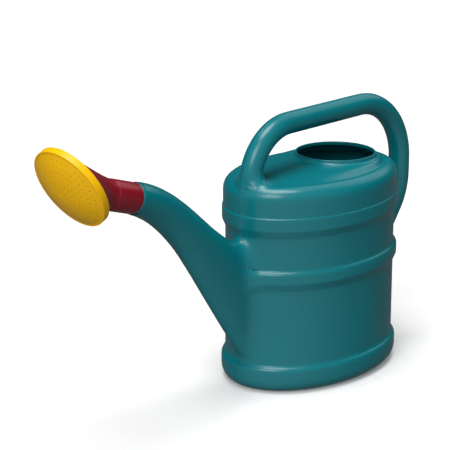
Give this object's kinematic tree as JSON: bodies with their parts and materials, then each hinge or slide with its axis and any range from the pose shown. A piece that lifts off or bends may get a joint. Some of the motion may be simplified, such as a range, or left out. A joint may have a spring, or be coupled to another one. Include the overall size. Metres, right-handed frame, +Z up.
{
  "type": "watering can",
  "caption": "Oval plastic watering can with bridge handle, long rising spout and a tilted perforated rose that turns and opens.",
  "frame": {"origin": "middle of the overall length and width, on the surface that the can stands on", "axes": "+X from the spout to the handle's rear bend, +Y across the can, +Z up"},
  "size_m": [0.624, 0.186, 0.3658],
  "materials": {
    "can_green": "blow-moulded polyethylene, satin",
    "neck_maroon": "injection-moulded polypropylene, semi-gloss",
    "face_yellow": "injection-moulded polyethylene, semi-gloss"
  },
  "bodies": {
    "can": {"vessel": "can_green", "handle": "can_green", "spout": "can_green"},
    "neck": {"rose_neck": "neck_maroon"},
    "face": {"rose_face": "face_yellow"}
  },
  "joints": [
    {"name": "rose_turn", "type": "hinge", "parent": "can", "child": "neck", "pos_m": [-0.1929, 0, 0.2864], "axis": [-0.9527, 0, 0.304], "continuous": true},
    {"name": "face_pull_off", "type": "slide", "parent": "neck", "child": "face", "axis": [-0.8949, 0, -0.4462], "range_m": [0, 0.03]}
  ]
}
